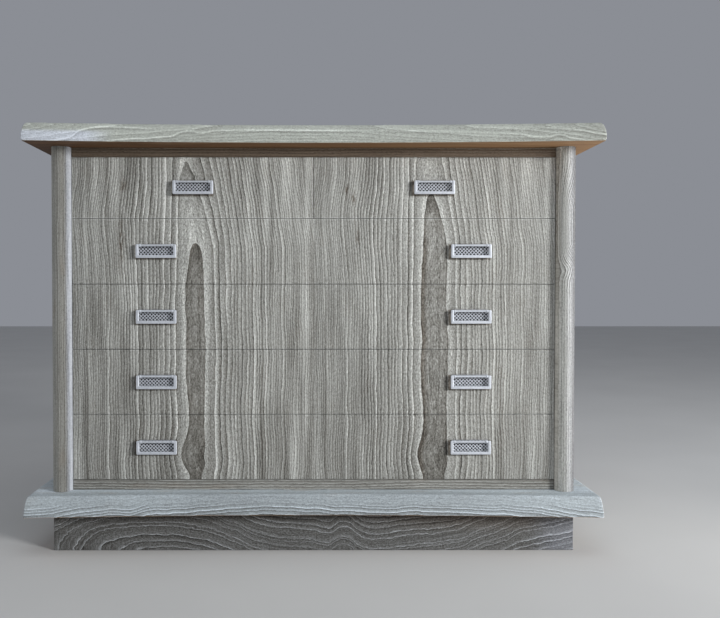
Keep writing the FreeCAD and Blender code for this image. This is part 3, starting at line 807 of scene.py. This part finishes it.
def relief(ob, key, keep=None):
    """cuts the grain into the surface, with the same network as the finish uses"""
    grain, depth = GRAINS[key]
    tree = bpy.data.node_groups.new("relief", "GeometryNodeTree")
    tree.interface.new_socket("Geometry", in_out="INPUT", socket_type="NodeSocketGeometry")
    tree.interface.new_socket("Geometry", in_out="OUTPUT", socket_type="NodeSocketGeometry")
    gi, go = tree.nodes.new("NodeGroupInput"), tree.nodes.new("NodeGroupOutput")
    where = tree.nodes.new("GeometryNodeInputPosition")
    n = Net(tree, where.outputs[0])
    g = grain(n)
    down = n.min(n.max(1.0 - g.height, 0.0), 1.25) * (depth * MM)
    if keep is not None:
        down = down * keep(n)
    normal = tree.nodes.new("GeometryNodeInputNormal")
    scale = tree.nodes.new("ShaderNodeVectorMath")
    scale.operation = "SCALE"
    tree.links.new(normal.outputs[0], scale.inputs[0])
    n.put(-down, scale.inputs["Scale"])
    move = tree.nodes.new("GeometryNodeSetPosition")
    tree.links.new(gi.outputs[0], move.inputs["Geometry"])
    tree.links.new(scale.outputs[0], move.inputs["Offset"])
    tree.links.new(move.outputs[0], go.inputs[0])
    mod = ob.modifiers.new("relief", "NODES")
    mod.node_group = tree
    bpy.context.view_layer.update()
    dg = bpy.context.evaluated_depsgraph_get()
    cut = bpy.data.meshes.new_from_object(ob.evaluated_get(dg))
    ob.modifiers.remove(mod)
    old = ob.data
    ob.data = cut
    bpy.data.meshes.remove(old)
    bpy.data.node_groups.remove(tree)
    cut.name = ob.name
    return ob


def finish_piece(ob, look, body, node):
    if len(ob.data.materials):
        ob.data.materials.clear()
    for q in (look if isinstance(look, (list, tuple)) else [look]):
        ob.data.materials.append(q)
    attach(ob, body)
    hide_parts(*(node if isinstance(node, (list, tuple)) else [node]))
    return ob


# ------------------------------------------------------------------ camera, light, floor
scene = bpy.context.scene
cam_data = bpy.data.cameras.new("camera")
cam = bpy.data.objects.new("camera", cam_data)
scene.collection.objects.link(cam)
scene.camera = cam
cam.location = (-0.0071, -1.7474, 0.5605)
cam.rotation_euler = (math.pi / 2 - 0.0184, 0.0, -0.0017)
cam_data.sensor_width = 36.0
cam_data.lens = 37.37
cam_data.shift_x = 0.0672
cam_data.shift_y = -0.011
cam_data.clip_start, cam_data.clip_end = 0.05, 60.0
scene.view_settings.view_transform = "Standard"

world = bpy.data.worlds.new("studio")
world.use_nodes = True
world.node_tree.nodes["Background"].inputs[0].default_value = (0.86, 0.90, 1.0, 1.0)
world.node_tree.nodes["Background"].inputs[1].default_value = 0.30
scene.world = world


def lamp(name, place, aim, size, power, colour):
    data = bpy.data.lights.new(name, "AREA")
    data.shape = "RECTANGLE"
    data.size, data.size_y = size
    data.energy = power
    data.color = colour
    ob = bpy.data.objects.new(name, data)
    scene.collection.objects.link(ob)
    ob.location = place
    direction = np.array(aim, float) - np.array(place, float)
    from mathutils import Vector
    ob.rotation_euler = Vector(direction).to_track_quat("-Z", "Y").to_euler()
    return ob


lamp("key", (3.6, -2.77, 1.5), (0.0, -0.16, 0.55), (1.0, 0.9), 182.0, (0.99, 0.99, 1.0))
lamp("left", (-3.0, -1.0, 1.0), (0.0, -0.16, 0.5), (1.0, 1.4), 11.0, (0.99, 0.98, 0.95))
lamp("side", (3.2, -0.55, 1.1), (0.4, -0.16, 0.6), (1.1, 1.5), 13.0, (0.88, 0.94, 1.0))
lamp("low", (1.45, -0.34, 0.2), (1.05, -0.28, 1.0), (0.4, 0.4), 12.0, (1.0, 0.95, 0.90))
lamp("over", (0.2, -1.1, 3.0), (0.0, 0.0, 0.5), (2.4, 1.6), 15.0, (0.94, 0.97, 1.0))

floor_mesh = bpy.data.meshes.new("studio_floor")
floor_mesh.from_pydata([(-9, -6, 0), (9, -6, 0), (9, 9, 0), (-9, 9, 0)], [], [(0, 1, 2, 3)])
floor = bpy.data.objects.new("studio_floor", floor_mesh)
scene.collection.objects.link(floor)
m, n, shader = new_material("pale_floor")
tone = n.noise(n.x / 420.0, n.y / 420.0, detail=2.0)
n.tree.links.new(ramp(n, tone * 0.3 + 0.5, [(0.0, (190, 190, 188)), (1.0, (204, 204, 202))]), shader.inputs["Base Color"])
shader.inputs["Roughness"].default_value = 0.85
floor_mesh.materials.append(m)

# ------------------------------------------------------------------ drawer fronts
for row, (line, x0, x1) in ROWS.items():
    z0, z1 = LINES[line] + GAP / 2, LINES[line + 1] - GAP / 2
    ob = board(row + "_front_wood", stops(x0, x1, 1.25, 0.4), stops(z0, z1, 3.4, 0.4), (Y_FACE, Y_FACE + FRONT_T), 0.4,
               lambda u, v, d: (u, d, v))
    relief(ob, "fronts", lambda n: n.step(n.y, -157.5, -159.6))
    finish_piece(ob, LOOKS["fronts"], row, row + "_front")

# ------------------------------------------------------------------ rails, posts, panels
for name, z0, z1, key in (("upper_rail", LINES[5] + GAP / 2, Z_TOP, "upper_rail"), ("lower_rail", Z_CASE, LINES[0] - GAP / 2, "rails")):
    ob = board(name + "_wood", stops(-OPEN, OPEN, 5.0, ARRIS), stops(z0, z1, 0.9, ARRIS), (Y_FACE, -141.5), ARRIS,
               lambda u, v, d: (u, d, v))
    relief(ob, key, lambda n: n.step(n.y, -157.5, -159.6))
    finish_piece(ob, LOOKS[key], "case", name)

ob = post("left_front_post_wood", -554.0, -OPEN)
relief(ob, "left_post", lambda n: n.step(n.y, -148.0, -152.0))
finish_piece(ob, LOOKS["left_post"], "case", "left_front_post")
ob = post("right_front_post_wood", OPEN, 554.0)
relief(ob, "right_post", lambda n: n.step(n.y, -148.0, -152.0))
finish_piece(ob, LOOKS["right_post"], "case", "right_front_post")

for side, key in ((-1, "left"), (1, "right")):
    ob = board(key + "_side_panel_wood", stops(-141.5, 236.0, 1.7, 0.8), stops(Z_CASE, Z_TOP, 5.0, 0.0), (550.0, 526.0), 0.8,
               lambda u, v, d, side=side: (d * side, u, v))
    relief(ob, key + "_panel", lambda n, side=side: n.step(n.x * float(side), 545.0, 549.0))
    finish_piece(ob, LOOKS[key + "_panel"], "case", key + "_side_panel")

# ------------------------------------------------------------------ top and plinth
ob = moulded("top_board_wood", TOP_EDGE, 590.0, 25.0, -240.0, 240.0, Z_TOP, 210, 150, 26)
relief(ob, "top", lambda n: n.step(n.z, 856.2, 858.0) * n.step(n.y, 239.5, 238.5))
finish_piece(ob, LOOKS["top"], "case", "top_board")
ob = moulded("plinth_board_wood", PLINTH_EDGE, 598.0, 20.0, -220.0, 240.0, Z_PLINTH, 210, 150, 30)
relief(ob, "plinth", lambda n: n.step(n.z, 86.5, 88.5) * n.step(n.y, 239.5, 238.5))
finish_piece(ob, LOOKS["plinth"], "case", "plinth_board")

# ------------------------------------------------------------------ base
ob = board("base_front_board_wood", stops(-553.5, 553.5, 3.4, 1.4), stops(0.0, Z_PLINTH, 1.3, 0.0), (-165.0, -143.0), 1.4,
           lambda u, v, d: (u, d, v))
relief(ob, "base_front", lambda n: n.step(n.y, -160.0, -163.0))
finish_piece(ob, LOOKS["base_front"], "case", "base_front_board")
ob = board("base_back_board_wood", stops(-553.5, 553.5, 5.0, 1.0), stops(0.0, Z_PLINTH, 1.6, 0.0), (234.0, 212.0), 1.0,
           lambda u, v, d: (u, d, v))
relief(ob, "base_back", lambda n: n.step(n.y, 229.0, 232.0))
finish_piece(ob, LOOKS["base_back"], "case", "base_back_board")
halves = []
for side in (-1, 1):
    ob = board("base_side_%d" % (side + 1), stops(-143.0, 212.0, 5.0, 0.0), stops(0.0, Z_PLINTH, 1.6, 0.0), (553.5, 531.5), 0.0,
               lambda u, v, d, side=side: (d * side, u, v))
    relief(ob, "base_sides", lambda n, side=side: n.step(n.x * float(side), 548.0, 552.0))
    halves.append(ob)


def join(name, parts):
    """several meshes as one piece"""
    bm = bmesh.new()
    mats = []
    for p in parts:
        start = len(bm.faces)
        bm.from_mesh(p.data)
        bm.faces.ensure_lookup_table()
        for f in bm.faces[start:]:
            f.material_index += len(mats)
        mats += [q for q in p.data.materials]
    mesh = bpy.data.meshes.new(name)
    bm.to_mesh(mesh)
    bm.free()
    for q in mats:
        mesh.materials.append(q)
    for p in parts:
        bpy.data.objects.remove(p)
    ob = bpy.data.objects.new(name, mesh)
    scene.collection.objects.link(ob)
    return ob


ob = join("base_side_boards_wood", halves)
finish_piece(ob, LOOKS["base_sides"], "case", "base_side_boards")


# ------------------------------------------------------------------ pulls
def rounded_corner(cx, cz, r, a0, a1, steps):
    return [(cx + r * math.cos(q), cz + r * math.sin(q)) for q in np.linspace(math.radians(a0), math.radians(a1), steps)]


def bail(name, hx, zp, yp):
    """square bail: a bent frame with softened edges, open at the top, and the
    round bar that turns in the eyelets"""
    x0, x1, z0, z1 = hx - 42.8, hx + 42.8, zp - 26.5, zp + 2.5
    w, soft = 6.0, 1.0

    def outline(cut):
        """the frame's outline, drawn in by cut, always with the same number of points"""
        ro, ri, re = max(2.2 - cut, 0.1), 1.4 + cut, max(1.1 - cut, 0.08)
        l, r, b, t = x0 + cut, x1 - cut, z0 + cut, z1 - cut
        li, ri_x, bi = x0 + w - cut, x1 - w + cut, z0 + w - cut
        out = rounded_corner(l + ro, b + ro, ro, 180, 270, 7) + rounded_corner(r - ro, b + ro, ro, 270, 360, 7)
        out += rounded_corner(r - ro, t - ro, ro, 0, 90, 7) + rounded_corner(ri_x + re, t - re, re, 90, 180, 4)
        out += list(reversed(rounded_corner(ri_x - ri, bi + ri, ri, 270, 360, 6)))
        out += list(reversed(rounded_corner(li + ri, bi + ri, ri, 180, 270, 6)))
        out += rounded_corner(li - re, t - re, re, 0, 90, 4) + rounded_corner(l + ro, t - ro, ro, 90, 180, 7)
        return out

    bm = bmesh.new()
    levels = [(soft * (1 - math.sin(math.radians(q))), -2.5 + soft * (1 - math.cos(math.radians(q)))) for q in (0, 22, 45, 68, 90)]
    levels += [(cut, -y) for cut, y in reversed(levels)]
    loops = [[bm.verts.new((x * MM, (yp + y) * MM, z * MM)) for x, z in outline(cut)] for cut, y in levels]
    for a, b in zip(loops[:-1], loops[1:]):
        for i in range(len(a)):
            bm.faces.new((a[i], a[(i + 1) % len(a)], b[(i + 1) % len(b)], b[i]))
    bm.faces.new(loops[0])
    bm.faces.new(loops[-1][::-1])
    # round bar
    seg, half = 28, 36.8 + 1.4
    rings = []
    for x in np.linspace(-half, half, 5):
        rings.append([bm.verts.new(((hx + x) * MM, (yp + 2.1 * math.cos(q)) * MM, (zp + 2.1 * math.sin(q)) * MM))
                      for q in np.linspace(0, 2 * math.pi, seg, endpoint=False)])
    for a, b in zip(rings[:-1], rings[1:]):
        for i in range(seg):
            bm.faces.new((a[i], a[(i + 1) % seg], b[(i + 1) % seg], b[i]))
    bm.faces.new(rings[0][::-1])
    bm.faces.new(rings[-1])
    mesh = bpy.data.meshes.new(name)
    bm.to_mesh(mesh)
    bm.free()
    tidy(mesh, 38.0)
    ob = bpy.data.objects.new(name, mesh)
    scene.collection.objects.link(ob)
    return ob


def lathe(bm, profile, centre, axis, seg):
    """closed ring: profile of (radius, place along the axis) turned about the axis"""
    rings = []
    for q in np.linspace(0, 2 * math.pi, seg, endpoint=False):
        ring = []
        for r, h in profile:
            if axis == "x":
                p = (centre[0] + h, centre[1] + r * math.cos(q), centre[2] + r * math.sin(q))
            else:
                p = (centre[0] + r * math.cos(q), centre[1] + h, centre[2] + r * math.sin(q))
            ring.append(bm.verts.new([c * MM for c in p]))
        rings.append(ring)
    k = len(profile)
    for i in range(seg):
        a, b = rings[i], rings[(i + 1) % seg]
        for j in range(k):
            bm.faces.new((a[j], a[(j + 1) % k], b[(j + 1) % k], b[j]))


def rod(bm, centre, r, y0, y1, seg=20, dome=0.5):
    """round rod along Y with softened ends"""
    prof = [(r - dome, y0), (r - dome * 0.3, y0 + dome * 0.3), (r, y0 + dome), (r, y1 - dome), (r - dome * 0.3, y1 - dome * 0.3), (r - dome, y1)]
    rings = []
    for rr, yy in prof:
        rings.append([bm.verts.new(((centre[0] + rr * math.cos(q)) * MM, yy * MM, (centre[1] + rr * math.sin(q)) * MM))
                      for q in np.linspace(0, 2 * math.pi, seg, endpoint=False)])
    for a, b in zip(rings[:-1], rings[1:]):
        for i in range(seg):
            bm.faces.new((a[i], a[(i + 1) % seg], b[(i + 1) % seg], b[i]))
    bm.faces.new(rings[0][::-1])
    bm.faces.new(rings[-1])


def prism(bm, section, ends, place):
    """a bar with the given closed section (across, up) between two ends along it"""
    rings = [[bm.verts.new([c * MM for c in place(at, p, q)]) for p, q in section] for at in ends]
    k = len(section)
    for i in range(k):
        bm.faces.new((rings[0][i], rings[0][(i + 1) % k], rings[1][(i + 1) % k], rings[1][i]))
    bm.faces.new(rings[0][::-1])
    bm.faces.new(rings[1])


def plate(bm, hx, zp):
    """back plate: thin sheet, raised rim and a lattice of crossed ribs"""
    x0, x1, z0, z1 = hx - 39.0, hx + 39.0, zp - 25.0, zp + 3.0
    y_back, y_ground, y_top = Y_FACE, Y_FACE - 0.35, Y_FACE - 1.2
    # sheet
    c = 0.5
    outline = [(x0 + c, z0), (x1 - c, z0), (x1, z0 + c), (x1, z1 - c), (x1 - c, z1), (x0 + c, z1), (x0, z1 - c), (x0, z0 + c)]
    a = [bm.verts.new((x * MM, y_ground * MM, z * MM)) for x, z in outline]
    b = [bm.verts.new((x * MM, y_back * MM, z * MM)) for x, z in outline]
    bm.faces.new(a)
    bm.faces.new(b[::-1])
    for i in range(8):
        bm.faces.new((a[i], b[i], b[(i + 1) % 8], a[(i + 1) % 8]))
    # rim, a closed ring with softened edges
    sect = [(0.0, y_back - 0.02), (0.0, y_top + 0.35), (0.12, y_top + 0.1), (0.38, y_top), (1.25, y_top), (1.55, y_top + 0.12), (1.75, y_top + 0.45), (1.8, y_back - 0.02)]
    rings = []
    for w, y in sect:
        o = [(x0 + w, z0 + w), (x1 - w, z0 + w), (x1 - w, z1 - w), (x0 + w, z1 - w)]
        rings.append([bm.verts.new((x * MM, y * MM, z * MM)) for x, z in o])
    k = len(sect)
    for i in range(k):
        for j in range(4):
            bm.faces.new((rings[i][j], rings[i][(j + 1) % 4], rings[(i + 1) % k][(j + 1) % 4], rings[(i + 1) % k][j]))
    # ribs at 45 degrees both ways, ended under the rim
    pitch = 5.2
    hx0, hx1, hz0, hz1 = x0 + 1.2, x1 - 1.2, z0 + 1.2, z1 - 1.2
    cx, cz = hx, (z0 + z1) / 2
    s2 = math.sqrt(0.5)
    for way in (1, -1):
        reach = (39.0 + 14.0) * s2
        count = int(reach / pitch) + 1
        for i in range(-count, count + 1):
            off = (i + 0.5) * pitch
            # line: point = centre + off * normal + t * direction
            dx, dz = s2, s2 * way
            px, pz = cx - dz * off, cz + dx * off
            lo, hi = -1e9, 1e9
            for p, dd, m0, m1 in ((px, dx, hx0, hx1), (pz, dz, hz0, hz1)):
                t0, t1 = sorted(((m0 - p) / dd, (m1 - p) / dd))
                lo, hi = max(lo, t0), min(hi, t1)
            if hi - lo < 1.5:
                continue
            lift = 0.0 if way == 1 else 0.06
            sect2 = [(-0.98, y_ground + 0.1), (-0.82, y_top + 0.32 + lift), (-0.46, y_top + 0.10 + lift), (0.46, y_top + 0.10 + lift),
                     (0.82, y_top + 0.32 + lift), (0.98, y_ground + 0.1)]

            def place(at, p, q, px=px, pz=pz, dx=dx, dz=dz):
                return (px + dx * at - dz * p, q, pz + dz * at + dx * p)

            prism(bm, sect2, (lo, hi), place)


def mounts(name, places, zp, yp):
    """plate, eyelets with their shanks, and nuts"""
    bm = bmesh.new()
    for hx in places:
        plate(bm, hx, zp)
    for f in bm.faces:
        f.material_index = 1
    for hx in places:
        start = len(bm.faces)
        for s in (-1, 1):
            x = hx + s * 34.0
            prof = [(2.2, -1.75), (2.45, -2.0), (2.8, -2.0), (3.1, -1.8), (3.2, -1.4), (3.2, 1.4), (3.1, 1.8), (2.8, 2.0),
                    (2.45, 2.0), (2.2, 1.75)]
            lathe(bm, prof, (x, yp, zp), "x", 28)
            rod(bm, (x, zp), 1.6, yp + 2.5, Y_FACE + FRONT_T + 4.0, dome=0.4)
            # hexagonal nut, chamfered, with a washer face
            rings = []
            for r, y, round_ in ((1.75, 0.0, 1), (3.4, 0.0, 1), (3.95, 0.35, 0), (3.95, 2.6, 0), (3.4, 3.0, 1), (1.75, 3.0, 1)):
                ring = []
                for i in range(24):
                    q = 2 * math.pi * i / 24
                    hexr = r if round_ else min(r, 3.44 / math.cos(((q + math.pi / 6) % (math.pi / 3)) - math.pi / 6))
                    ring.append(bm.verts.new(((x + hexr * math.cos(q)) * MM, (Y_FACE + FRONT_T + y) * MM, (zp + hexr * math.sin(q)) * MM)))
                rings.append(ring)
            for i in range(len(rings)):
                a, b = rings[i], rings[(i + 1) % len(rings)]
                for j in range(24):
                    bm.faces.new((a[j], a[(j + 1) % 24], b[(j + 1) % 24], b[j]))
        bm.faces.ensure_lookup_table()
        for f in bm.faces[start:]:
            f.material_index = 0
    mesh = bpy.data.meshes.new(name)
    bm.to_mesh(mesh)
    bm.free()
    tidy(mesh, 30.0)
    ob = bpy.data.objects.new(name, mesh)
    scene.collection.objects.link(ob)
    return ob


for row, pulls in HANDLES.items():
    line = ROWS[row][0]
    hz = (LINES[line] + LINES[line + 1]) / 2
    zp, yp = hz + 12.0, Y_FACE - 8.0
    ob = mounts(row + "_handle_mounts_metal", [hx for _, hx in pulls], zp, yp)
    finish_piece(ob, [LOOKS["metal"], LOOKS["lattice"]], row, row + "_handle_mounts")
    for bail_name, hx in pulls:
        ob = bail(bail_name + "_metal", hx, zp, yp)
        finish_piece(ob, LOOKS["bail"], bail_name, bail_name)

# ------------------------------------------------------------------ bare wood inside
ob = board("back_panel_wood", stops(-532.0, 532.0, 6.0, 0.0), stops(Z_CASE, Z_TOP, 8.0, 0.0), (234.0, 226.0), 0.0,
           lambda u, v, d: (u, d, v))
finish_piece(ob, LOOKS["raw_z"], "case", "back_panel")

for name, ob in NODES.items():
    if ob.hide_render:
        continue
    if name.endswith("_sides") or name == "drawer_guides":
        look = LOOKS["raw_y"]
    elif name == "centre_divider":
        look = LOOKS["raw_y"]
    else:
        look = LOOKS["raw_x"]
    ob.data.materials.clear()
    ob.data.materials.append(look)
    weld = ob.modifiers.new("weld", "WELD")
    weld.merge_threshold = 1e-6
    soft = ob.modifiers.new("soft_edges", "BEVEL")
    soft.width = 0.0006
    soft.segments = 2
    soft.limit_method = "ANGLE"
    soft.angle_limit = math.radians(40)
